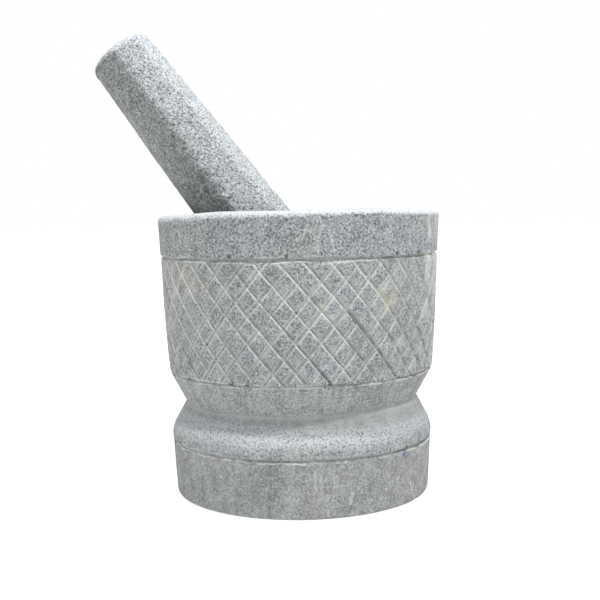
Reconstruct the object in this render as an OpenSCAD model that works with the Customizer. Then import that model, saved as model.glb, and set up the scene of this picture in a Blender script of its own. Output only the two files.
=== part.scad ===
// A turned stone mortar with a cross-cut band, and the eight-sided stone pestle that leans in its bowl.
// Millimetres, +Z up. The origin is the centre of the mortar's base face, on the mortar's axis.

/* [Mortar body] */
// Outside diameter at the rim
rim_d = 150; // [125:1:220]
// Height from the base face to the rim
mortar_h = 150; // [125:1:220]
// Height of the foot band, up to the line cut above it
foot_h = 30; // [20:0.5:40]
// Height of the flare between the foot line and the waist
flare_h = 20; // [14:0.5:28]
// Height of the taper between the waist and the carved band
taper_h = 16.4; // [8:0.2:24]
// Height of the plain band between the rim and the carved band
rim_band_h = 22.6; // [12:0.2:30]

/* [Mortar outline] */
// How far the bottom of the rim band is inside the rim
rim_band_inset = 1; // [0:0.1:4]
// How far the bottom of the carved band is inside the rim
carved_inset = 4.3; // [1:0.1:10]
// How far the waist is inside the rim
waist_inset = 12.3; // [10.5:0.1:18]
// How far the shoulder under the waist is inside the rim
shoulder_inset = 5.3; // [2:0.1:8]
// How far the edge of the base is inside the rim
base_inset = 7.5; // [2:0.1:12]
// Radius of the shoulder's rounding
shoulder_round = 16; // [8:0.5:20]
// Radius of the rim's outer edge
rim_round = 2.5; // [1:0.1:4]
// Radius of the base's edge
base_round = 2.5; // [1:0.1:4]

/* [Bowl] */
// Thickness of the wall at the rim
rim_wall = 18.5; // [14:0.5:24]
// Depth of the bowl below the rim
bowl_depth = 98; // [75:0.5:102]
// Radius of the bowl's round bottom
bowl_round = 44; // [36:0.5:46]
// Radius of the bowl's mouth edge
mouth_round = 3; // [1:0.1:5]

/* [Cut lines] */
// Width of the V cut above the carved band
upper_line_w = 2.2; // [0.8:0.1:4]
// Depth of the V cut above the carved band
upper_line_depth = 1.3; // [0.4:0.1:2]
// Width of the V cut below the carved band
lower_line_w = 1.2; // [0.6:0.1:3]
// Depth of the V cut below the carved band
lower_line_depth = 0.7; // [0.3:0.1:2]
// Width of the V cut above the foot band
foot_line_w = 2; // [0.8:0.1:4]
// Depth of the V cut above the foot band
foot_line_depth = 1.1; // [0.4:0.1:2]

/* [Carved band] */
// Number of strokes leaning each way
strokes_each_way = 40; // [16:1:48]
// Width of a stroke
stroke_w = 1.8; // [0.8:0.1:3]
// Depth of the strokes that lean left, which were sawn last
stroke_depth = 0.9; // [0.4:0.05:1.6]
// Depth of the strokes that lean right
cross_depth = 0.75; // [0.4:0.05:1.6]
// Lean of the strokes from upright
stroke_lean = 40; // [25:1:50]

/* [Pestle] */
// Length from the round working end to the domed top
pestle_l = 214; // [170:1:260]
// Diameter at the working end
pestle_end_d = 49; // [40:0.5:54]
// Diameter at the top
pestle_top_d = 35; // [26:0.5:38]
// Number of flats
flats = 8; // [6:1:10]
// Depth of each flat below the round
flat_depth = 0.9; // [0.4:0.1:1.4]
// Radius of the top's edge
pestle_top_round = 5.5; // [1:0.1:6]
// Radius that the top is domed to
pestle_dome_r = 36; // [28:1:80]
// How far the flats are turned about the pestle's own axis
pestle_turn = 21; // [0:1:45]
// Where in the bowl the working end rests, from straight down
rest_side = 58; // [40:1:70]
// Gap left where the pestle rests on the mortar
rest_gap = 0.3; // [0.2:0.05:1]

/* [Hidden] */
$fn = 144;
ARC_STEPS = 10;                                   // straight steps in each rounded stretch of an outline
OVER = 1;                                         // how far a cut runs out past the stone

// Mortar: radii and heights, from the base up
base_r = rim_d / 2 - base_inset;
shoulder_r = rim_d / 2 - shoulder_inset;
waist_r = rim_d / 2 - waist_inset;
carved_low_r = rim_d / 2 - carved_inset;
carved_top_r = rim_d / 2 - rim_band_inset;
waist_z = foot_h + flare_h;
carved_low_z = waist_z + taper_h;
carved_top_z = mortar_h - rim_band_h;

// Bowl: a ball-shaped bottom that runs straight into a widening wall
mouth_r = rim_d / 2 - rim_wall;
bowl_at = [0, mortar_h - bowl_depth + bowl_round];
wall_deg = touch_deg(bowl_at, bowl_round, [mouth_r, mortar_h]);
mouth_at = [mouth_r + mouth_round * (1 + sin(wall_deg)) / cos(wall_deg), mortar_h - mouth_round];

// Pestle: its side touches the ball of the working end and the rounding of the top, which runs into the dome
end_r = pestle_end_d / 2;
end_at = [0, end_r];
dome_at = [0, pestle_l - pestle_dome_r];
top_in = pestle_top_d / 2 - pestle_top_round;
top_at = dome_at + [top_in, sqrt(pow(pestle_dome_r - pestle_top_round, 2) - pow(top_in, 2))];
dome_deg = acos(top_in / (pestle_dome_r - pestle_top_round));
side_deg = touch_deg(end_at, end_r - pestle_top_round, top_at);

// Where the pestle rests: its ball on the bowl's bottom, and its side on the mouth's rounded edge
rest_reach = bowl_round - end_r - rest_gap;
rest_at = bowl_at + rest_reach * [sin(rest_side), -cos(rest_side)];
edge_from_rest = [-mouth_at.x, mouth_at.y] - rest_at;
edge_deg = atan2(edge_from_rest.y, edge_from_rest.x);
lean = edge_deg + acos((end_r + rest_gap + mouth_round) / norm(edge_from_rest)) - 180 + side_deg;

// The angle on a circle where a straight line from a point outside touches it, on its right-hand side
function touch_deg(centre, r, from) =
    let (away = from - centre)
    atan2(away.y, away.x) - acos(r / norm(away));

// Points along an arc, from one angle to another
function arc(centre, r, from_deg, to_deg) = [
    for (i = [0 : ARC_STEPS])
        let (a = from_deg + (to_deg - from_deg) * i / ARC_STEPS)
        centre + r * [cos(a), sin(a)]
];

// A V cut all round the mortar, at a height where its radius is r
function cut_line(r, z, w, depth) = [[r, z - w / 2], [r - depth, z], [r, z + w / 2]];

// Everything that the lathe turns, as one outline from the base up
module mortar_blank() {
    shoulder_at = [shoulder_r - shoulder_round, foot_h + foot_line_w / 2];
    rotate_extrude()
        polygon(concat(
            [[0, 0]],
            arc([base_r - base_round, base_round], base_round, -90, 0),
            cut_line(shoulder_r, foot_h, foot_line_w, foot_line_depth),
            arc(shoulder_at, shoulder_round, 0, touch_deg(shoulder_at, shoulder_round, [waist_r, waist_z])),
            [[waist_r, waist_z]],
            cut_line(carved_low_r, carved_low_z, lower_line_w, lower_line_depth),
            cut_line(carved_top_r, carved_top_z, upper_line_w, upper_line_depth),
            arc([rim_d / 2 - rim_round, mortar_h - rim_round], rim_round, 0, 90),
            [[0, mortar_h]]
        ));
}

module bowl_space() {
    rotate_extrude()
        polygon(concat(
            arc(bowl_at, bowl_round, -90, wall_deg),
            arc(mouth_at, mouth_round, 180 + wall_deg, 90),
            [[mouth_at.x, mortar_h + OVER], [0, mortar_h + OVER]]
        ));
}

// The stone of the carved band, as far out as over past its surface
module band_core(over) {
    translate([0, 0, carved_low_z])
        cylinder(h = carved_top_z - carved_low_z, r1 = carved_low_r + over, r2 = carved_top_r + over);
}

// Straight strokes across the band, all leaning the same way
module strokes(deg) {
    length = (carved_top_z - carved_low_z + 4 * stroke_w) / cos(deg);
    // The round surface falls away from a straight stroke, so the cut starts further in
    inner = sqrt(pow(carved_low_r - stroke_depth - cross_depth, 2) - pow(length * sin(deg) / 2, 2));
    outer = max(carved_low_r, carved_top_r) + OVER;
    for (i = [0 : strokes_each_way - 1])
        rotate(i * 360 / strokes_each_way)
            translate([inner, 0, (carved_low_z + carved_top_z) / 2])
                rotate([deg, 0, 0])
                    translate([0, -stroke_w / 2, -length / 2])
                        cube([outer - inner, stroke_w, length]);
}

// The strokes leaning one way, cut to an even depth in the round surface
module carved_strokes(deg, depth) {
    intersection() {
        difference() {
            band_core(OVER);
            band_core(-depth);
        }
        strokes(deg);
    }
}

module mortar() {
    color("#a3a8a9")
        difference() {
            difference() {
                mortar_blank();
                bowl_space();
                carved_strokes(-stroke_lean, cross_depth);
            }
            carved_strokes(stroke_lean, stroke_depth);
        }
}

// The pestle standing on its working end
module pestle_blank() {
    rotate_extrude()
        polygon(concat(
            arc(end_at, end_r, -90, side_deg),
            arc(top_at, pestle_top_round, side_deg, dome_deg),
            arc(dome_at, pestle_dome_r, dome_deg, 90)
        ));
}

module pestle() {
    color("#8f9598")
        translate([rest_at.x, 0, rest_at.y])
            rotate([0, -lean, 0])
                translate([0, 0, -end_r])
                    difference() {
                        pestle_blank();
                        for (i = [0 : flats - 1])
                            rotate(pestle_turn + i * 360 / flats)
                                translate([0, 0, end_r])
                                    rotate([0, -side_deg, 0])
                                        translate([end_r - flat_depth, -end_r, -end_r])
                                            cube([end_r, 2 * end_r, pestle_l + end_r]);
                    }
}

mortar();
pestle();
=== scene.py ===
"""A turned stone mortar with a cross-cut band, and the dressed stone pestle that leans in its bowl.

Surfaces are worked out in millimetres and put into Blender in metres. A place on the mortar is given by its
turn (degrees round from the front, positive to the right) and its height above the base.
"""

import math
from types import SimpleNamespace

import bpy
import numpy as np
from mathutils import Matrix, Vector


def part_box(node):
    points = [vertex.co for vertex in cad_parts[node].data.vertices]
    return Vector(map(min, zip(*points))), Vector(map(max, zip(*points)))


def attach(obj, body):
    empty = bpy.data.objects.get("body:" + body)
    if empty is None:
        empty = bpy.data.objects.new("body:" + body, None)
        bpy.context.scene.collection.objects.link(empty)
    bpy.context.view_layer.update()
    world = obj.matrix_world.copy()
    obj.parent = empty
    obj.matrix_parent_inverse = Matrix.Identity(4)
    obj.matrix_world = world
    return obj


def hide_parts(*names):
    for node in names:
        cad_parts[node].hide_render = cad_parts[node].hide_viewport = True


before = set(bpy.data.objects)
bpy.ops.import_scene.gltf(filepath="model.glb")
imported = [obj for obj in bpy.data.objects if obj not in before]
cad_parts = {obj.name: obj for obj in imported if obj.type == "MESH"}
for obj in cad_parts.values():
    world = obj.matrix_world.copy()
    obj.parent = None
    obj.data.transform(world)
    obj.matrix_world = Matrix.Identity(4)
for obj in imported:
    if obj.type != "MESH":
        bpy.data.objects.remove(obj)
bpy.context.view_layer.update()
MM = 0.001
FULL_TURN = 360

# ---------------------------------------------------------------- sizes, in mm

mortar_high = np.array(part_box("mortar")[1]) / MM
pestle_low, pestle_high = (np.array(corner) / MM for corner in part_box("pestle"))
RIM_R = mortar_high[0]
TOP_Z = mortar_high[2]

BASE_R = RIM_R - 7.0
FOOT_TOP_R = RIM_R - 5.3
FOOT_LINE_Z = 29.6
SHOULDER_R, SHOULDER_ROUND = RIM_R - 4.9, 16.0
WAIST_R, WAIST_Z = RIM_R - 12.9, 50.1
BAND_LOW_R, BAND_LOW_Z = RIM_R - 4.3, 66.0
BAND_TOP_R, BAND_TOP_Z = RIM_R - 1.2, TOP_Z - 23.1
BAND_BOW = 0.5                  # how far the carved band bulges past a straight taper
EDGE_IN, EDGE_DOWN = 3.4, 3.2    # the rim's worn outer edge
BOWL_DEPTH, BOWL_ROUND, RIM_WALL, MOUTH_ROUND = 98.0, 44.0, 18.5, 3.0

STROKES = 40                    # saw strokes leaning each way
STROKE_LEAN = 40.0              # degrees from upright

PESTLE_L, END_R, TOP_R, TOP_ROUND, DOME_R = 214.0, 24.5, 17.5, 5.5, 36.0
FLATS, FLAT_DEPTH, FLAT_TURN = 8, 0.9, 21.0

OUTSIDE_COLUMNS = 1024          # points round the outside of the mortar, 0.46 mm apart
PESTLE_COLUMNS = 320            # points round the pestle, about as close

# What each point of the stone tells its material, from 0 to 1: pale bruises and stone dust, with a painted
# highlight on the lower lips of the cuts; saw cuts; cream stain; how strong the grains are; the stone flour
# that lies on it, with painted light on what faces up; the bluish tint, partly painted light on what faces
# the sky;
# painted shade in pits and chips; and a fleck of ink
MARKS = ("dust_and_highlight", "cut", "stain", "speckle", "flour_and_light", "bluish_tint_and_light", "pit_shade", "ink")


# ---------------------------------------------------------------- shaping helpers

def smooth(low, high, x):
    """0 at low, 1 at high, and an even S between them."""
    t = np.clip((x - low) / (high - low), 0, 1)
    return t * t * (3 - 2 * t)


def lattice_value(x, y, z, seed):
    """A fixed random number from 0 to 1 for each corner of a cubic lattice."""
    h = x * np.uint32(374761393) + y * np.uint32(668265263) + z * np.uint32(2246822519)
    h = h + np.uint32(seed * 3266489917 & 0xFFFFFFFF)
    h = (h ^ (h >> np.uint32(13))) * np.uint32(1274126177)
    h = (h ^ (h >> np.uint32(16))) * np.uint32(2654435761)
    return (h ^ (h >> np.uint32(15))).astype(np.float64) / 0xFFFFFFFF


def noise(points, size, seed):
    """Smooth unevenness from -1 to 1, with lumps about size across."""
    p = points / size + 512.0
    whole = np.floor(p)
    f = p - whole
    f = f * f * (3 - 2 * f)
    x, y, z = whole.astype(np.int64).astype(np.uint32).T
    total = np.zeros(len(points))
    for dx in (0, 1):
        for dy in (0, 1):
            for dz in (0, 1):
                share = abs(1 - dx - f[:, 0]) * abs(1 - dy - f[:, 1]) * abs(1 - dz - f[:, 2])
                corner = x + np.uint32(dx), y + np.uint32(dy), z + np.uint32(dz)
                total += share * lattice_value(*corner, seed)
    return 2 * total - 1


def rough(points, size, octaves, seed):
    """Unevenness at several sizes, each half of the one before."""
    return sum(0.55 ** k * noise(points, size / 2 ** k, seed + 17 * k) for k in range(octaves))


def around(turn, reach, seed):
    """Unevenness along a line cut round the stone, with lumps about reach mm long."""
    a = np.radians(turn)
    ring = np.stack([RIM_R * np.sin(a), -RIM_R * np.cos(a), np.full(len(a), 7.3 * seed)], 1)
    return rough(ring, reach, 3, seed)


def arc(centre, radius, start, end, step):
    """Points along an arc, from one angle to another in degrees, without the last one."""
    n = max(2, round(abs(math.radians(end - start)) * radius / step))
    a = np.radians(np.linspace(start, end, n + 1)[:-1])
    return np.stack([centre[0] + radius * np.cos(a), centre[1] + radius * np.sin(a)], 1)


def line(start, end, step):
    """Points along a straight line, without the last one."""
    n = max(1, round(math.dist(start, end) / step))
    t = np.linspace(0, 1, n + 1)[:-1, None]
    return np.array(start) * (1 - t) + np.array(end) * t


def touch(centre, radius, point):
    """The angle, in degrees, at which a line from a point touches the right-hand side of a circle."""
    x, y = point[0] - centre[0], point[1] - centre[1]
    return math.degrees(math.atan2(y, x) - math.acos(radius / math.hypot(x, y)))


def outward(outline):
    """The direction out of the stone at each point of an outline that keeps the stone on its right."""
    along = np.gradient(outline, axis=0)
    along /= np.linalg.norm(along, axis=1)[:, None]
    return np.stack([-along[:, 1], along[:, 0]], 1)


def bearing(degrees):
    """The direction at an angle in degrees, as two numbers."""
    return np.array([math.cos(math.radians(degrees)), math.sin(math.radians(degrees))])


# ---------------------------------------------------------------- skins made of rings of points

def ring_skin(columns):
    """The faces between rings of points, where a ring has as many points as the next, or twice or half as
    many, or is one point at an end. Returns each point's ring and turn, the faces, and the (turn, ring)
    places of their corners."""
    starts = np.concatenate([[0], np.cumsum(columns)])
    ring = np.concatenate([np.full(n, i) for i, n in enumerate(columns)])
    turn = np.concatenate([FULL_TURN * np.arange(n) / n - 180 for n in columns])
    groups, places = [], []

    def faces(*corners):
        groups.append(np.stack([starts[i] + j % columns[i] for i, j in corners], 1))
        places.append(np.stack([
            np.stack([j / columns[i], np.full(len(j), i)], 1) for i, j in corners
        ], 1).reshape(-1, 2))

    for i, (here, after) in enumerate(zip(columns, columns[1:])):
        j = np.arange(min(here, after))
        if here == after:
            faces((i, j), (i + 1, j), (i + 1, j + 1), (i, j + 1))
        elif here == 1:
            j = np.arange(after)
            faces((i + 1, j), (i + 1, j + 1), (i, 0 * j))
        elif after == 1:
            j = np.arange(here)
            faces((i, j + 1), (i, j), (i + 1, 0 * j))
        elif here < after:
            faces((i, j), (i + 1, 2 * j), (i + 1, 2 * j + 1))
            faces((i, j), (i + 1, 2 * j + 1), (i, j + 1))
            faces((i, j + 1), (i + 1, 2 * j + 1), (i + 1, 2 * j + 2))
        else:
            faces((i, 2 * j), (i + 1, j), (i, 2 * j + 1))
            faces((i, 2 * j + 1), (i + 1, j), (i + 1, j + 1))
            faces((i, 2 * j + 1), (i + 1, j + 1), (i, 2 * j + 2))
    return ring, turn, groups, np.concatenate(places)


def ring_columns(outline, most, gap):
    """How many points each ring has: most, or half of that, and so on, so that they stay about gap apart."""
    columns = []
    for radius in outline[:, 0]:
        n = most
        while n > 16 and 2 * math.pi * radius / n < gap:
            n //= 2
        columns.append(n)
    for i in range(1, len(columns)):
        columns[i] = min(columns[i], 2 * columns[i - 1])
    for i in reversed(range(len(columns) - 1)):
        columns[i] = min(columns[i], 2 * columns[i + 1])
    columns[0] = columns[-1] = 1
    return columns


def make_piece(name, points, groups, places, outline, marks):
    """A mesh piece in metres from points in mm, with its marks as named values on the points."""
    mesh = bpy.data.meshes.new(name)
    loops = np.concatenate([g.ravel() for g in groups])
    sizes = np.concatenate([np.full(len(g), g.shape[1]) for g in groups])
    mesh.vertices.add(len(points))
    mesh.vertices.foreach_set("co", (points * MM).astype(np.float32).ravel())
    mesh.loops.add(len(loops))
    mesh.loops.foreach_set("vertex_index", loops.astype(np.int32))
    mesh.polygons.add(len(sizes))
    first_corners = np.concatenate([[0], np.cumsum(sizes)[:-1]])
    mesh.polygons.foreach_set("loop_start", first_corners.astype(np.int32))
    mesh.update(calc_edges=True)
    mesh.validate()
    mesh.shade_smooth()
    run = np.concatenate([[0], np.cumsum(np.linalg.norm(np.diff(outline, axis=0), axis=1))])
    uv = np.stack([places[:, 0], (run / run[-1])[places[:, 1].astype(int)]], 1)
    mesh.uv_layers.new(name="OFBake").data.foreach_set("uv", uv.astype(np.float32).ravel())
    for mark in MARKS:
        values = marks.get(mark, np.zeros(len(points)))
        mesh.attributes.new(mark, "FLOAT", "POINT").data.foreach_set("value", values.astype(np.float32))
    piece = bpy.data.objects.new(name, mesh)
    bpy.context.scene.collection.objects.link(piece)
    return piece


# ---------------------------------------------------------------- mortar

BAND_MID_Z = (BAND_LOW_Z + BAND_TOP_Z) / 2
DEG_PER_MM = math.degrees(1 / (RIM_R - 2.6))


def mortar_outline():
    """The turned shape, from the middle of the bowl out over the rim and down to the middle of the base."""
    bowl = np.array([0, TOP_Z - BOWL_DEPTH + BOWL_ROUND])
    mouth = np.array([RIM_R - RIM_WALL + MOUTH_ROUND, TOP_Z - MOUTH_ROUND])
    away = mouth - bowl
    lean = math.acos((BOWL_ROUND + MOUTH_ROUND) / np.hypot(*away))
    wall = math.degrees(math.atan2(away[1], away[0]) - lean)
    shoulder = np.array([SHOULDER_R - SHOULDER_ROUND, FOOT_LINE_Z + 1.5])
    flare = touch(shoulder, SHOULDER_ROUND, (WAIST_R, WAIST_Z))
    quarter = np.radians(np.linspace(90, 0, 13)[:-1])
    edge = np.stack([np.cos(quarter) * EDGE_IN, np.sin(quarter) * EDGE_DOWN], 1)
    edge = edge + [RIM_R - EDGE_IN, TOP_Z - EDGE_DOWN]
    stretches = [
        arc(bowl, BOWL_ROUND, -90, wall, 1.1),
        line(bowl + BOWL_ROUND * bearing(wall), mouth - MOUTH_ROUND * bearing(wall), 0.9),
        arc(mouth, MOUTH_ROUND, 180 + wall, 90, 0.5),
        line((mouth[0], TOP_Z), edge[0], 0.8),
        edge,
        line((RIM_R, TOP_Z - EDGE_DOWN), (RIM_R - 0.9, BAND_TOP_Z + 1.2), 0.5),
        line((RIM_R - 0.9, BAND_TOP_Z + 1.2), (BAND_TOP_R, BAND_TOP_Z - 2), 0.28),
        line((BAND_TOP_R, BAND_TOP_Z - 2), (BAND_LOW_R, BAND_LOW_Z + 1.5), 0.48),
        line((BAND_LOW_R, BAND_LOW_Z + 1.5), (BAND_LOW_R - 0.5, BAND_LOW_Z - 1), 0.28),
        line((BAND_LOW_R - 0.5, BAND_LOW_Z - 1), (WAIST_R, WAIST_Z), 0.6),
        line((WAIST_R, WAIST_Z), shoulder + SHOULDER_ROUND * bearing(flare), 0.5),
        arc(shoulder, SHOULDER_ROUND, flare, 0, 0.5),
        line((SHOULDER_R, FOOT_LINE_Z + 1.5), (FOOT_TOP_R, FOOT_LINE_Z - 1.5), 0.28),
        line((FOOT_TOP_R, FOOT_LINE_Z - 1.5), (BASE_R + 0.3, 2.2), 0.6),
        arc((BASE_R - 1.9, 2.2), 2.2, 0, -90, 0.4),
        line((BASE_R - 1.9, 0), (0.7, 0), 1.4),
        np.array([[0, 0]]),
    ]
    return np.concatenate(stretches)


def cut_line(turn, height, z, half_w, depth, seed):
    """A V line cut round the stone: how deep it is at each point, and the pale stone dust on its lips; the
    lower lip, which faces up, is also a painted highlight.
    """
    centre = z + 0.35 * around(turn, 60, seed) + 0.22 * around(turn, 7, seed + 1)
    wide = half_w * (1 + 0.35 * around(turn, 12, seed + 2))
    deeper_right = smooth(-40, 50, turn) * smooth(170, 100, turn)
    deep = depth * (1 + 0.5 * around(turn, 22, seed + 3)) * (0.75 + 0.45 * deeper_right)
    gap = height - centre
    cut = np.maximum(deep, 0) * np.clip(1.25 * (1 - np.abs(gap) / wide), 0, 1)
    ragged = 0.25 * around(turn, 2.5, seed + 6)
    # The lower lip faces up: it is pale stone dust and a painted highlight
    lip = smooth(-wide - 0.75, -wide - 0.1, gap + ragged) * smooth(0.2, -0.4, gap + 0.6 * wide)
    lip = lip * smooth(-0.45, 0.3, around(turn, 9, seed + 4))
    brow = smooth(wide + 0.6, wide + 0.2, gap + ragged) * smooth(wide - 0.5, wide - 0.1, gap)
    brow = brow * smooth(-0.3, 0.4, around(turn, 15, seed + 5)) * smooth(40, -20, turn)
    return cut, np.maximum(lip, 0.7 * brow)


def strokes(turn, height, side, first, bunch, depth, width, seed):
    """Hand-sawn strokes across the band, leaning to one side (1 is up to the right, -1 up to the left).
    Returns how deep they are, and where the stone beside them is bruised pale below and above them."""
    chance = np.random.default_rng(seed)
    even = FULL_TURN / STROKES
    number = np.arange(STROKES)
    place = even * (number - STROKES // 2 + first)
    place = place + bunch * np.sin(np.radians(place)) + chance.normal(0, 0.3, STROKES)
    tilt = side * np.tan(np.radians(STROKE_LEAN + chance.normal(0, 0.5, STROKES))) * DEG_PER_MM
    widths = width * (1 + chance.normal(0, 0.14, STROKES))
    depths = depth * (1 + chance.normal(0, 0.22, STROKES))
    starts = BAND_TOP_Z - 0.4 - 2.2 * chance.random(STROKES) ** 2
    ends = BAND_LOW_Z + 0.4 + 2.6 * chance.random(STROKES) ** 2
    cut = np.zeros(len(turn))
    below = np.zeros(len(turn))
    above = np.zeros(len(turn))
    across = math.cos(math.radians(STROKE_LEAN)) / DEG_PER_MM
    for i in number:
        gap = (turn - place[i] - tilt[i] * (height - BAND_MID_Z) + 180) % FULL_TURN - 180
        near = np.flatnonzero(np.abs(gap) < 5)
        up = -side * gap[near] * across
        z = height[near]
        along = np.stack([z, up * 0.15, np.full(len(near), 31.0 * i)], 1)
        wander = 0.16 * rough(along, 14, 2, seed + 1) + 0.08 * noise(along, 2.2, seed + 2)
        half = widths[i] / 2 * (1 + 0.2 * noise(along, 9, seed + 3))
        hold = smooth(ends[i] - 1, ends[i] + 1, z) * smooth(starts[i] + 1, starts[i] - 1, z)
        low_down = 0.7 + 0.5 * smooth(BAND_TOP_Z - 8, BAND_LOW_Z + 6, z)
        deep = depths[i] * hold * low_down * (1 + 0.3 * rough(along, 17, 2, seed + 4))
        up = up + wander
        slot = smooth(half + 0.28, half - 0.28, np.abs(up))
        cut[near] = np.maximum(cut[near], deep * slot)
        edge = hold * smooth(-0.75, 0.15, 0.15 + noise(along, 6, seed + 5))
        torn = 0.12 * noise(along, 1.6, seed + 6)
        low_lip = smooth(0.55, 0.2, np.abs(up + torn + half + 0.1))
        high_lip = smooth(0.55, 0.2, np.abs(up - torn - half - 0.1))
        below[near] = np.maximum(below[near], low_lip * edge)
        above[near] = np.maximum(above[near], high_lip * edge)
    return cut, below, above


def spot(turn, height, at, size, stretch=1.0):
    """1 in the middle of a mark at a turn and height, and 0 at size mm from it, or stretch times that up."""
    across = ((turn - at[0] + 180) % FULL_TURN - 180) / DEG_PER_MM
    return smooth(1, 0.2, np.hypot(across, (height - at[1]) / stretch) / size)


def mortar_zones(outline, ring, turn, height, points):
    """How far each point belongs to each part of the mortar, from 0 to 1."""
    outside = (ring >= np.argmax(outline[:, 0] > RIM_R - 0.5)) * smooth(-0.1, 0.3, height)
    bowl = (ring < np.argmax(outline[:, 1] > TOP_Z - 0.01)) * 1.0
    band = outside * smooth(BAND_LOW_Z - 0.2, BAND_LOW_Z + 0.2, height)
    shoulder = outside * smooth(WAIST_Z, WAIST_Z - 3, height)
    taper = outside * smooth(WAIST_Z, WAIST_Z + 1, height)
    edge_z = TOP_Z - 2.6 + 0.7 * np.sin(np.radians(turn))
    edge_z = edge_z + 0.4 * around(turn, 8, 51) + 0.5 * noise(points, 2.0, 52)
    shoulder = shoulder * smooth(FOOT_LINE_Z - 1, FOOT_LINE_Z + 1, height)
    # Where the band's overhang casts its shadow on the shoulder: that shadow is painted, less pale, plainer
    # and warmer
    shadow_edge_z = height + 2.5 * np.sin(np.radians(turn))
    return SimpleNamespace(
        outside=outside,
        bowl=bowl,
        edge=(1 - bowl) * smooth(edge_z - 0.5, edge_z + 0.5, height),
        rim=outside * smooth(BAND_TOP_Z, BAND_TOP_Z + 0.5, height),
        band=band * smooth(BAND_TOP_Z + 0.2, BAND_TOP_Z - 0.2, height),
        taper=taper * smooth(BAND_LOW_Z, BAND_LOW_Z - 0.5, height),
        shoulder=shoulder,
        cast_shadow_band=shoulder * smooth(42.5, 46.5, shadow_edge_z),
        foot=outside * smooth(FOOT_LINE_Z + 0.5, FOOT_LINE_Z - 0.5, height),
    )


def cut_lines(turn, height, on):
    """The two lines that bound the band, and the line above the foot: their depth and their pale lips, partly
    stone dust and partly a painted highlight.
    """
    upper, upper_lip = cut_line(turn, height, BAND_TOP_Z, 1.1, 1.1, 11)
    lower, lower_lip = cut_line(turn, height, BAND_LOW_Z, 0.75, 0.6, 23)
    foot, foot_lip = cut_line(turn, height, FOOT_LINE_Z, 1.0, 1.0, 37)
    return (upper + lower + foot) * on.outside, (upper_lip + lower_lip + foot_lip) * on.outside


def saw_band(turn, height, points, on):
    """The cross-cut strokes of the band: how deep they are, where two of them cross, and their pale lips,
    partly stone dust and partly a painted highlight on the lower lips, which face up.
    """
    back_cut, back_low, back_high = strokes(turn, height, -1, 0.229, 5.2, 0.85, 1.7, 101)
    cross_cut, cross_low, cross_high = strokes(turn, height, 1, 0.44, 0, 0.62, 1.75, 202)
    faded = 1 - 0.75 * spot(turn, height, (52, 118), 24, 0.8)
    firm_right = smooth(-25, 25, turn) * smooth(120, 60, turn)
    firm = 0.85 + 0.25 * firm_right + 0.12 * noise(points, 30, 63)
    cross_depth = cross_cut * faded * (0.85 + 0.15 * noise(points, 30, 64))
    sawn = np.maximum(back_cut * firm, cross_depth) * on.band
    crossing = smooth(0.1, 0.4, back_cut) * smooth(0.1, 0.4, cross_cut) * on.band
    # The lower lips face up and are painted paler than the upper ones: partly a painted highlight
    back_lips = np.maximum(back_low, 0.45 * back_high)
    cross_lips = faded * np.maximum(cross_low, 0.75 * cross_high)
    return sawn, crossing, np.maximum(back_lips, cross_lips) * on.band


def mortar_chips(turn, height, points, on):
    """How deep the chips are along the edges of the bands, of the rim and of the base."""
    total = 0
    for z, reach, deep, seed, length in (
        (BAND_TOP_Z + 1.3, 1.5, 0.7, 41, 9),
        (BAND_TOP_Z - 1.4, 1.4, 0.6, 42, 9),
        (BAND_LOW_Z - 0.8, 1.3, 0.5, 43, 9),
        (FOOT_LINE_Z + 1.2, 1.3, 0.6, 44, 9),
        (FOOT_LINE_Z - 1.2, 1.2, 0.6, 45, 9),
        (TOP_Z - EDGE_DOWN, 2.2, 0.5, 46, 6),
        (1.0, 2.4, 0.7, 47, 16),
        (WAIST_Z, 0.8, 0.25, 48, 9),
    ):
        broken = around(turn, length, seed) + 0.35 * noise(points, 1.6, seed)
        near = smooth(reach, 0, np.abs(height - z)) * on.outside
        total = total + deep * near * smooth(0.15, 0.75, broken)
    return total


def mortar_grain(points, on):
    """The stone's own unevenness: a little lumpy, grainy, and pecked where the tool broke grains out."""
    lumps = 0.28 * noise(points, 48, 5) + 0.14 * noise(points, 17, 6)
    grain = rough(points, 2.4, 3, 7)
    pits = smooth(0.52, 0.8, noise(points, 1.7, 8)) + 0.8 * smooth(0.5, 0.8, noise(points, 3.2, 9))
    coarse = 0.1 + 0.9 * np.clip(on.rim + on.band, 0, 1) + 0.35 * on.shoulder + 0.9 * on.bowl
    return lumps * (1 - 0.6 * on.bowl) + 0.07 * grain * coarse - 0.2 * pits * coarse


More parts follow.
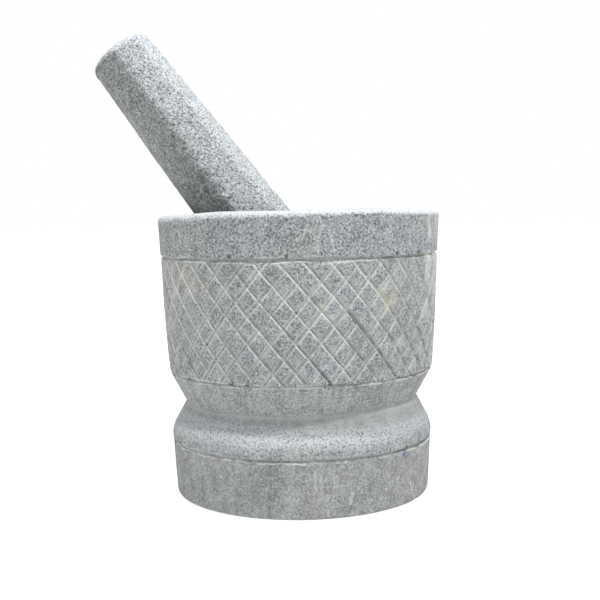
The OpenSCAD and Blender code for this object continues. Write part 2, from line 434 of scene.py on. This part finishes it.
def bruises(turn, height, points, on):
    """Pale stone dust besides that of the cuts: a rubbed strip, a patch, scratches, and dots on the foot."""
    rubbed_edge = 0.6 * smooth(67, 69, turn) * smooth(80, 76, turn)
    rubbed = smooth(58.5, 61, turn) * (smooth(67, 64.5, turn) + rubbed_edge)
    rubbed = 1.2 * rubbed * smooth(88, 118, height) * on.outside
    broken = noise(np.stack([turn * 0.45, height * 0.16, 0 * turn], 1), 1, 61)
    rubbed = rubbed * smooth(-0.6, 0.5, broken)
    patch = 0.6 * spot(turn, height, (11.6, 103.5), 11) * on.band * smooth(-0.7, 0.5, noise(points, 3, 66))
    patch = np.maximum(patch, 0.2 * smooth(0.2, 0.7, noise(points, 7, 67)) * on.band)
    scratches = 0
    for at, tilt_mm, reach in (
        ((2, 139), 4, 6),
        ((12, 136), -3, 7),
        ((8, 140), 4, 5),
        ((-52, 139), -3, 5),
        ((54, 7), -6, 6),
        ((5, 20), 0, 6),
        ((-64, 46), 2, 4),
    ):
        gap = (turn - at[0]) / DEG_PER_MM - (height - at[1]) * tilt_mm / 12
        along = smooth(reach, 0.6 * reach, np.abs(height - at[1]))
        scratches = scratches + smooth(0.7, 0.15, np.abs(gap)) * along
    dots = spot(turn, height, (43.6, 15.6), 1.3)
    dots = dots + spot(turn, height, (36.6, 11.7), 1.2) + spot(turn, height, (47, 13), 1.1)
    scattered = smooth(0.62, 0.75, noise(points, 2.4, 85)) * smooth(-0.2, 0.5, noise(points, 20, 86))
    dots = dots + 0.7 * scattered * on.foot
    return 0.8 * rubbed + patch + (0.6 * scratches + 0.8 * dots) * on.outside


def flour_and_painted_light(turn, height, points, on, faces_up):
    """How much pale stone flour the stone shows: on the worn edge, in the bowl and in streaks down it, and as
    painted light from above on what faces up, which is left off in the painted shadow under the band's
    overhang.
    """
    edge = on.edge * (1 - 0.35 * smooth(0.8, 1, faces_up))
    # Painted light from above: what faces up is painted paler, except in the painted shadow under the
    # overhang
    facing_up = smooth(0.1, 0.55, faces_up) * (1 - on.edge) * (1 - 0.75 * on.cast_shadow_band)
    streaks = noise(np.stack([turn * 0.55, height * 0.05, 0 * turn], 1), 1, 71)
    streaks = streaks * (0.5 + 0.5 * noise(points, 14, 72))
    flour_and_light = np.clip(0.13 + 0.85 * edge + 0.6 * facing_up + 0.35 * on.bowl - 0.1 * on.foot, 0, 1)
    return np.clip(flour_and_light + 0.35 * streaks * np.clip(on.foot + on.taper + 0.6 * on.rim, 0, 1), 0, 1)


def painted_pit_shade(turn, height, points, on, crossing):
    """Painted shade: near-black pits on and just above the cut lines, where their chips are, and where two
    strokes cross.
    """
    pits = smooth(0.5, 0.8, noise(points, 2.6, 84)) * crossing
    for z, size, seed, least, most, reach, full in (
        (BAND_TOP_Z + 1.5, 3.2, 81, 0.5, 0.68, 1.1, 0.5),
        (FOOT_LINE_Z + 1.1, 4, 82, 0.45, 0.65, 1.0, 0.4),
        (BAND_LOW_Z + 0.5, 3, 83, 0.55, 0.7, 0.9, 0.4),
    ):
        near = smooth(reach, full, np.abs(height - z))
        pits = pits + smooth(least, most, around(turn, size, seed)) * near
    return np.clip(0.8 * pits * on.outside, 0, 1)


def mortar_marks(turn, height, points, on, faces_up, lines, sawn, crossing, lips):
    """The marks that the mortar's points carry for its material."""
    in_cuts = np.maximum(sawn / 0.8 - 0.2, 0) + 0.5 * noise(points, 4, 77)
    stain = 0.45 * spot(turn, height, (35.4, 107), 11) + 0.35 * spot(turn, height, (-47, 118), 9, 1.6)
    speckle = on.rim + (0.9 + 0.1 * noise(points, 7, 68)) * on.band
    speckle = speckle + 0.7 * on.taper + 0.8 * on.shoulder + 0.6 * on.foot
    speckle = np.clip(speckle + 0.7 * on.bowl + 0.5 * (1 - on.outside), 0, 1)
    bluish_tint_and_light = on.rim * smooth(-70, 10, turn) + 0.5 * on.band * smooth(70, -10, np.abs(turn - 10))
    # The shoulder is bluish, but not in the painted shadow under the overhang, which is left warmer
    bluish_tint_and_light = bluish_tint_and_light + 0.7 * on.shoulder * (1 - on.cast_shadow_band)
    ink = 0.75 * spot(turn, height, (47.3, 27.3), 2.4, 0.9) * smooth(-0.5, 0.3, noise(points, 1.5, 88))
    return {
        "dust_and_highlight": np.clip(lips + bruises(turn, height, points, on), 0, 1),
        "cut": np.clip(np.maximum(sawn, 0.8 * lines) / 0.8, 0, 1),
        "stain": stain * on.band * smooth(-0.3, 0.6, in_cuts),
        # The grains are plainer in the painted shadow under the overhang
        "speckle": speckle * (1 - 0.6 * on.cast_shadow_band),
        "flour_and_light": flour_and_painted_light(turn, height, points, on, faces_up),
        "bluish_tint_and_light": np.clip(bluish_tint_and_light + 0.25, 0, 1),
        "pit_shade": painted_pit_shade(turn, height, points, on, crossing),
        "ink": ink,
    }


def carve_mortar():
    outline = mortar_outline()
    ring, turn, groups, places = ring_skin(ring_columns(outline, OUTSIDE_COLUMNS, 0.38))
    out = outward(outline)[ring]
    radius, height = outline[ring].T
    a = np.radians(turn)
    turned = np.stack([radius * np.sin(a), -radius * np.cos(a), height], 1)
    on = mortar_zones(outline, ring, turn, height, turned)
    lines, line_lips = cut_lines(turn, height, on)
    sawn, crossing, stroke_lips = saw_band(turn, height, turned, on)

    push = mortar_grain(turned, on) - lines - sawn - mortar_chips(turn, height, turned, on)
    up_band = np.clip((height - BAND_LOW_Z) / (BAND_TOP_Z - BAND_LOW_Z), 0, 1)
    push = push + BAND_BOW * on.band * np.sin(np.pi * up_band ** 0.7)
    push = push * smooth(-0.1, 0.6, height)
    facing = np.stack([out[:, 0] * np.sin(a), -out[:, 0] * np.cos(a), out[:, 1]], 1)
    points = turned + push[:, None] * facing

    # The waist and the top were never turned quite level, and the rim is worn lower at its left and right
    lean = np.interp(height, [0, 30, 50, 66, 127, 150], [0, 0.1, 0.8, 0.4, 0.1, 0.5])
    lean = lean * (1 - 0.8 * on.bowl * smooth(150, 120, height))
    points[:, 2] += lean * (points[:, 0] / RIM_R)
    worn = smooth(TOP_Z - 12, TOP_Z, height) * smooth(35, 65, np.abs(points[:, 0]))
    points[:, 2] -= 1.2 * worn

    lips = np.clip(0.9 * line_lips, 0, 1) + stroke_lips * (0.85 + 0.3 * noise(points, 11, 65))
    marks = mortar_marks(turn, height, points, on, out[:, 1], lines, sawn, crossing, lips)
    return make_piece("mortar_stone", points, groups, places, outline, marks)


# ---------------------------------------------------------------- pestle

def pestle_outline():
    """The round bar that the pestle was dressed from, as radius and height along its own axis, from its domed
    top down to its round working end."""
    dome = np.array([0, PESTLE_L - DOME_R])
    inset = TOP_R - TOP_ROUND
    top = dome + [inset, math.sqrt((DOME_R - TOP_ROUND) ** 2 - inset ** 2)]
    dome_edge = math.degrees(math.acos(inset / (DOME_R - TOP_ROUND)))
    end = np.array([0, END_R])
    away = top - end
    lean = math.acos((END_R - TOP_ROUND) / np.hypot(*away))
    side = math.degrees(math.atan2(away[1], away[0]) - lean)
    return np.concatenate([
        arc(dome, DOME_R, 90, dome_edge, 0.5),
        arc(top, TOP_ROUND, dome_edge, side, 0.4),
        line(top + TOP_ROUND * bearing(side), end + END_R * bearing(side), 0.5),
        arc(end, END_R, side, -89, 0.6),
        np.array([[0, 0]]),
    ])


def pestle_place():
    """Where the pestle's working end is centred, and the direction of its axis, from the frame."""
    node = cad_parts["pestle"].data
    co = np.zeros(len(node.vertices) * 3)
    node.vertices.foreach_get("co", co)
    co = co.reshape(-1, 3) / MM
    centre = np.array([pestle_high[0] - END_R, 0, pestle_low[2] + END_R])
    axis = co[np.argmax(np.linalg.norm(co - centre, axis=1))] - centre
    for _ in range(6):
        axis = axis * [1, 0, 1] / np.hypot(axis[0], axis[2])
        across = np.array([axis[2], 0, -axis[0]])
        near_top = co[(co - centre) @ axis > PESTLE_L - END_R - 20] - centre
        sideways = near_top @ across
        axis = axis * (near_top @ axis).mean() + across * (sideways.min() + sideways.max()) / 2
    return centre, axis * [1, 0, 1] / np.hypot(axis[0], axis[2])


def chisel_flats(radius, height, turn, number, from_flat):
    """How far in the flats are chiselled: each one wavers a little in depth along the bar."""
    side_r = np.interp(height, [END_R, PESTLE_L - TOP_ROUND], [END_R, TOP_R])
    chance = np.random.default_rng(9)
    flat_push = chance.normal(0, 0.12, FLATS + 1)[(number % FLATS).astype(int)]
    waver = 0.3 * noise(np.stack([height, 57.0 * (number % FLATS), 0 * height], 1), 45, 3)
    flat_r = (side_r - FLAT_DEPTH + flat_push + waver) / np.cos(from_flat)
    blend = 0.35
    cut = -blend * np.log(np.exp(-np.maximum(radius, 0.01) / blend) + np.exp(-flat_r / blend))
    return np.minimum(cut, radius) - radius


def peck_pestle(radius, height, round_bar, from_flat):
    """The pestle's own unevenness: lumps, grains, pits, and nicks in its long edges and round its top."""
    corner = smooth(0.24, 0.34, np.abs(from_flat)) * smooth(0, 6, radius)
    nicks = 0.5 * corner * smooth(0.1, 0.8, rough(round_bar, 3.0, 2, 13))
    grain = rough(round_bar, 2.2, 3, 15)
    pits = smooth(0.5, 0.8, noise(round_bar, 1.6, 16)) + smooth(0.55, 0.8, noise(round_bar, 3.4, 17))
    top_edge = smooth(6, 0, np.abs(height - PESTLE_L + 1.5)) * smooth(0.1, 0.7, rough(round_bar, 6, 2, 18))
    push = 0.2 * noise(round_bar, 26, 14) + 0.09 * grain - 0.22 * pits - nicks
    push = push - 0.5 * top_edge * smooth(6, 14, radius)
    return push * smooth(0, 30, height) - 0.1


def dress_pestle():
    outline = pestle_outline()
    ring, turn, groups, places = ring_skin(ring_columns(outline, PESTLE_COLUMNS, 0.25))
    radius, height = outline[ring].T
    out = outward(outline)[ring]
    a = np.radians(turn)
    round_bar = np.stack([radius * np.cos(a), radius * np.sin(a), height], 1)
    bar_out = np.stack([out[:, 0] * np.cos(a), out[:, 0] * np.sin(a), out[:, 1]], 1)

    step = FULL_TURN / FLATS
    number = np.round((turn - FLAT_TURN) / step)
    from_flat = np.radians(turn - FLAT_TURN - step * number)
    points = round_bar + peck_pestle(radius, height, round_bar, from_flat)[:, None] * bar_out
    cut = chisel_flats(radius, height, turn, number, from_flat)
    points[:, :2] += cut[:, None] * np.stack([np.cos(a), np.sin(a)], 1)

    centre, axis = pestle_place()
    leaning = np.stack([np.cross([0, 1, 0], axis), [0, 1, 0], axis], 1)
    points = (points - [0, 0, END_R]) @ leaning.T + centre

    # How much each point faces the sky: mostly by the flat that it lies on, and by the dome at the top. Flats
    # that face up are painted paler, bluer and more grainy, and flats that face down darker: painted light
    # and shade
    flat_a = np.radians(FLAT_TURN + step * number)
    flat_out = np.stack([np.cos(flat_a), np.sin(flat_a), 0 * height], 1)
    facing = 0.75 * flat_out + 0.25 * bar_out
    facing += smooth(0.4, 1, out[:, 1])[:, None] * ([0, 0, 1] - facing)
    skyward = (facing @ leaning.T)[:, 2]
    from_scratch = 0.7 * (turn + 76) - 0.35 * (height - 128)
    scratch = smooth(0.5, 0.1, np.abs(from_scratch)) * smooth(7, 4, np.abs(height - 128))
    # Painted light and shade: the pale flour, the bluish tint and the grains follow how much each flat faces
    # the sky
    marks = {
        "dust_and_highlight": 0.5 * scratch,
        "speckle": 0.7 + 0.3 * smooth(-0.4, 0.2, skyward),
        "flour_and_light": 0.88 * smooth(-0.35, 1.0, skyward + 0.1 * rough(round_bar, 9, 2, 22)),
        "bluish_tint_and_light": smooth(-0.3, 0.5, skyward),
        # Painted shade in scattered pits
        "pit_shade": 0.5 * smooth(0.62, 0.8, noise(round_bar, 2.2, 23)),
    }
    return make_piece("pestle_stone", points, groups, places, outline, marks)


# ---------------------------------------------------------------- stone

def colour(code):
    """An sRGB hex colour as linear red, green, blue and full alpha."""
    parts = [int(code[i:i + 2], 16) / 255 for i in (1, 3, 5)]
    return [c / 12.92 if c <= 0.04045 else ((c + 0.055) / 1.055) ** 2.4 for c in parts] + [1.0]


def per_mm(size):
    """The texture scale whose lumps are size mm across, on coordinates in metres."""
    return 1 / (size * MM)


def add(tree, kind, inputs, **settings):
    """Adds a shader node with its settings. An input is a value, or another node's output to link from."""
    node = tree.nodes.new("ShaderNode" + kind)
    for name, value in settings.items():
        setattr(node, name, value)
    for key, value in inputs.items():
        if isinstance(value, bpy.types.NodeSocket):
            tree.links.new(value, node.inputs[key])
        else:
            node.inputs[key].default_value = value
    return node


MIX_A, MIX_B, MIX_OUT = 6, 7, 2     # a colour Mix node's own sockets

PALE_FLOUR_AND_LIGHT = "#b0b4b6"
SETTLED_DUST = "#82857f"
CREAM_STAIN = "#bcb8a2"
BRUISE_AND_HIGHLIGHT = "#bfc2bd"
PIT_SHADE = "#3a3d3e"
INK = "#4a4f8c"


def soapstone(name, dark, light, tint, speck_dark, speck_light, shift):
    """Grey soapstone, turned or chiselled and left dusty: dull, with dark and pale grains about a millimetre
    across, bluish and warm clouds, and pale bruises where a tool ground it. Its marks also paint light and
    shade
    on it: paler and bluer where it faces up, a highlight on the lower lips of the cuts, and shade in its
    pits.
    Its finest grains are too small to show, so they are drawn half a millimetre across."""
    material = bpy.data.materials.new(name)
    material.use_nodes = True
    tree = material.node_tree
    tree.nodes.clear()
    place = add(tree, "TexCoord", {}).outputs["Object"]
    place = add(tree, "VectorMath", {0: place, 1: shift}, operation="ADD").outputs[0]
    mark = {
        key: add(tree, "Attribute", {}, attribute_name=key).outputs["Fac"]
        for key in MARKS
    }
    grains = add(tree, "TexNoise", {"Vector": place, "Scale": per_mm(1.0), "Detail": 3.0, "Roughness": 0.68})
    crystals = add(tree, "TexVoronoi", {"Vector": place, "Scale": per_mm(1.15)})
    fine = add(tree, "TexNoise", {"Vector": place, "Scale": per_mm(0.5), "Detail": 1.0})
    blotch = add(tree, "TexNoise", {"Vector": place, "Scale": per_mm(7), "Detail": 3.0, "Roughness": 0.6})
    cloud = add(tree, "TexNoise", {"Vector": place, "Scale": per_mm(38), "Detail": 2.0})

    clouded = add(tree, "MapRange", {"Value": cloud.outputs["Fac"], "From Min": 0.35, "From Max": 0.65})
    base = add(tree, "Mix", {
        "Factor": clouded.outputs[0], MIX_A: colour(dark), MIX_B: colour(light),
    }, data_type="RGBA")
    veined = add(tree, "MapRange", {
        "Value": cloud.outputs["Color"], "From Min": 0.4, "From Max": 0.6, "To Min": 0.2, "To Max": 0.9,
    })
    bluish = add(tree, "Math", {0: veined.outputs[0], 1: mark["bluish_tint_and_light"]}, operation="MULTIPLY")
    base = add(tree, "Mix", {
        "Factor": bluish.outputs[0], MIX_A: base.outputs[MIX_OUT], MIX_B: colour(tint),
    }, data_type="RGBA")
    blotched = add(tree, "MapRange", {
        "Value": blotch.outputs["Fac"], "From Min": 0.35, "From Max": 0.68, "To Min": 0.0, "To Max": 0.35,
    })
    base = add(tree, "Mix", {
        "Factor": blotched.outputs[0], MIX_A: base.outputs[MIX_OUT], MIX_B: colour(speck_light),
    }, data_type="RGBA")

    # Pale stone flour, and painted light: what faces up is painted paler, and the undersides are left bare
    # and darker
    base = add(tree, "Mix", {
        "Factor": mark["flour_and_light"], MIX_A: base.outputs[MIX_OUT], MIX_B: colour(PALE_FLOUR_AND_LIGHT),
    }, data_type="RGBA")

    # Dark and pale grains, fewer where the stone was rubbed smooth, in the painted shadow under the overhang,
    # and on the pestle's flats that face down
    dark_grains = add(tree, "MapRange", {
        "Value": grains.outputs["Fac"], "From Min": 0.49, "From Max": 0.36, "To Min": 0.0, "To Max": 0.95,
    })
    dark_amount = add(tree, "Math", {0: dark_grains.outputs[0], 1: mark["speckle"]}, operation="MULTIPLY")
    speckled = add(tree, "Mix", {
        "Factor": dark_amount.outputs[0], MIX_A: base.outputs[MIX_OUT], MIX_B: colour(speck_dark),
    }, data_type="RGBA")
    pale_grains = add(tree, "MapRange", {
        "Value": grains.outputs["Fac"], "From Min": 0.52, "From Max": 0.66, "To Min": 0.0, "To Max": 0.95,
    })
    pale_amount = add(tree, "Math", {0: pale_grains.outputs[0], 1: mark["speckle"]}, operation="MULTIPLY")
    speckled = add(tree, "Mix", {
        "Factor": pale_amount.outputs[0], MIX_A: speckled.outputs[MIX_OUT], MIX_B: colour(speck_light),
    }, data_type="RGBA")

    # Saw cuts are filled with settled dust, warmer and plainer than the broken faces
    settled = add(tree, "Math", {0: mark["cut"], 1: 0.55}, operation="MULTIPLY")
    cut = add(tree, "Mix", {
        "Factor": settled.outputs[0], MIX_A: speckled.outputs[MIX_OUT], MIX_B: colour(SETTLED_DUST),
    }, data_type="RGBA")
    stained = add(tree, "Mix", {
        "Factor": mark["stain"], MIX_A: cut.outputs[MIX_OUT], MIX_B: colour(CREAM_STAIN),
    }, data_type="RGBA")
    # Pale bruises and stone dust, and the painted highlight on the lower lips of the cuts
    chalky = add(tree, "MapRange", {
        "Value": fine.outputs["Fac"], "From Min": 0.25, "From Max": 0.7, "To Min": 0.55, "To Max": 1.0,
    })
    ground = add(tree, "Math", {0: mark["dust_and_highlight"], 1: chalky.outputs[0]}, operation="MULTIPLY")
    bruised_and_lit = add(tree, "Mix", {
        "Factor": ground.outputs[0], MIX_A: stained.outputs[MIX_OUT], MIX_B: colour(BRUISE_AND_HIGHLIGHT),
    }, data_type="RGBA")
    # Painted shade in pits and chips
    pit_shaded = add(tree, "Mix", {
        "Factor": mark["pit_shade"], MIX_A: bruised_and_lit.outputs[MIX_OUT], MIX_B: colour(PIT_SHADE),
    }, data_type="RGBA")
    inked = add(tree, "Mix", {
        "Factor": mark["ink"], MIX_A: pit_shaded.outputs[MIX_OUT], MIX_B: colour(INK),
    }, data_type="RGBA")

    lumpy = add(tree, "Math", {0: grains.outputs["Fac"], 1: fine.outputs["Fac"]}, operation="ADD")
    lumpy = add(tree, "Math", {0: lumpy.outputs[0], 1: crystals.outputs["Distance"]}, operation="ADD")
    bump = add(tree, "Bump", {"Height": lumpy.outputs[0], "Strength": 0.5, "Distance": 0.25 * MM})
    rub = add(tree, "MapRange", {"Value": blotch.outputs["Fac"], "To Min": 0.98, "To Max": 0.82})
    shader = add(tree, "BsdfPrincipled", {
        "Base Color": inked.outputs[MIX_OUT], "Roughness": rub.outputs[0], "Normal": bump.outputs[0],
        "IOR": 1.5, "Specular IOR Level": 0.25,
    })
    add(tree, "OutputMaterial", {"Surface": shader.outputs[0]})
    return material


# ---------------------------------------------------------------- studio

ROOM_LIGHT = 0.75               # how bright the white room lights the stone, against how bright it looks
LAMP_DISTANCE = 1.3             # metres
LAMP_AIM_Z = 0.1

LENS = 60.21                    # mm, on a sensor 36 mm wide
CAMERA_BACK = 0.5431            # metres in front of the mortar's axis
CAMERA_BELOW_RIM = 0.0024
CAMERA_TIP, CAMERA_ROLL = 4.83, -0.95


def pale_floor():
    bpy.ops.mesh.primitive_plane_add(size=40)
    floor = bpy.context.object
    floor.name = "floor"
    material = bpy.data.materials.new("white_paper_sweep")
    material.use_nodes = True
    tree = material.node_tree
    tree.nodes.clear()
    paper = add(tree, "BsdfPrincipled", {
        "Base Color": colour("#a4a4a4"), "Roughness": 1.0, "Specular IOR Level": 0.0,
        "Emission Color": colour("#ffffff"), "Emission Strength": 0.85,
    })
    add(tree, "OutputMaterial", {"Surface": paper.outputs[0]})
    floor.data.materials.append(material)


def room_light():
    world = bpy.data.worlds.new("white_room")
    world.use_nodes = True
    tree = world.node_tree
    tree.nodes.clear()
    seen = add(tree, "Background", {"Color": colour("#ffffff"), "Strength": 1.0})
    cast = add(tree, "Background", {"Color": colour("#ffffff"), "Strength": ROOM_LIGHT})
    path = add(tree, "LightPath", {})
    both = add(tree, "MixShader", {0: path.outputs["Is Camera Ray"], 1: cast.outputs[0], 2: seen.outputs[0]})
    add(tree, "OutputWorld", {"Surface": both.outputs[0]})
    bpy.context.scene.world = world


def soft_box(name, turn, rise, size, watts):
    """A round lamp, turned round from the front and raised by so many degrees, that faces the object."""
    data = bpy.data.lights.new(name, "AREA")
    data.shape = "DISK"
    data.size = size
    data.energy = watts
    lamp = bpy.data.objects.new(name, data)
    bpy.context.scene.collection.objects.link(lamp)
    t, e = math.radians(turn), math.radians(rise)
    away = Vector((math.sin(t) * math.cos(e), -math.cos(t) * math.cos(e), math.sin(e)))
    lamp.location = Vector((0, 0, LAMP_AIM_Z)) + LAMP_DISTANCE * away
    lamp.rotation_euler = away.to_track_quat("Z", "Y").to_euler()


def camera():
    """Level with the rim and looking slightly down, a little crooked, with a lens that fills the frame."""
    data = bpy.data.cameras.new("camera")
    data.lens = LENS
    data.sensor_width = 36
    cam = bpy.data.objects.new("camera", data)
    bpy.context.scene.collection.objects.link(cam)
    place = Matrix.Translation((0.0001, -CAMERA_BACK, TOP_Z * MM - CAMERA_BELOW_RIM))
    tip = Matrix.Rotation(math.radians(90 - CAMERA_TIP), 4, "X")
    roll = Matrix.Rotation(math.radians(CAMERA_ROLL), 4, "Z")
    cam.matrix_world = place @ tip @ roll
    bpy.context.scene.camera = cam


# ---------------------------------------------------------------- put together

mortar = carve_mortar()
pestle = dress_pestle()
mortar.data.materials.append(soapstone(
    "turned_soapstone", "#727472", "#7f807b", "#787b84", "#4c5153", "#b0b4b4", (0, 0, 0),
))
pestle.data.materials.append(soapstone(
    "chiselled_soapstone", "#666864", "#737571", "#767984", "#434748", "#b4b9bc", (3, 5, 7),
))
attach(mortar, "mortar")
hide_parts("mortar")
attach(pestle, "pestle")
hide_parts("pestle")

pale_floor()
room_light()
soft_box("ceiling", -20, 78, 0.1, 16)
soft_box("window", 55, 60, 0.12, 11)
camera()
bpy.context.scene.view_settings.view_transform = "Standard"
